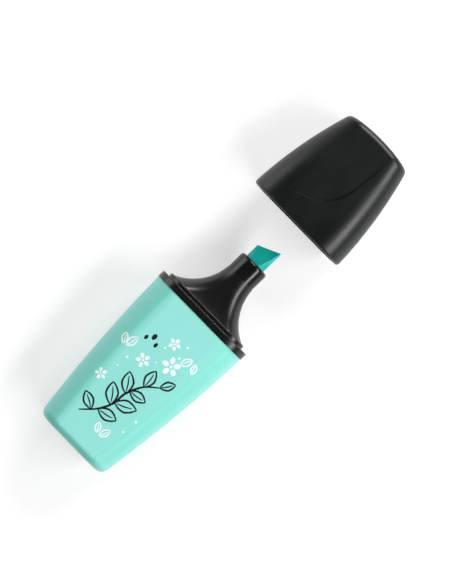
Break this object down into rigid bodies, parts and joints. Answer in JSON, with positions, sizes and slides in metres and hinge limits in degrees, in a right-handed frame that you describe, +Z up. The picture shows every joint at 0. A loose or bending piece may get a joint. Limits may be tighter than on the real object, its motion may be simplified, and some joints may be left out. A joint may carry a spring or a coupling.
{
  "type": "highlighter",
  "caption": "Short flat pocket highlighter with a slanted chisel nib on a concave neck, lying on its back with its rounded cap pulled straight off the nib.",
  "frame": {"origin": "on the table, under the middle of the pen and the pulled-off cap together", "axes": "+X along the pen axis from the tail through the nib to the cap, +Y across the width, +Z up out of the front face"},
  "size_m": [0.104, 0.0284, 0.0153],
  "materials": {
    "barrel_plastic": "satin mint",
    "front_plastic": "satin black",
    "holder_plastic": "gloss black",
    "nib_fibre": "fibre soaked in mint ink",
    "reservoir_fibre": "fibre soaked in mint ink",
    "film": "thin clear film",
    "cap_plastic": "satin black",
    "liner_plastic": "natural"
  },
  "bodies": {
    "pen": {"barrel": "barrel_plastic", "front_section": "front_plastic", "nib_holder": "holder_plastic", "nib": "nib_fibre", "ink_reservoir": "reservoir_fibre", "reservoir_film": "film"},
    "cap": {"cap": "cap_plastic", "inner_cap": "liner_plastic"}
  },
  "joints": [
    {"name": "cap_pull", "type": "slide", "parent": "pen", "child": "cap", "axis": [1, 0, 0], "range_m": [-0.0304, 0]}
  ]
}
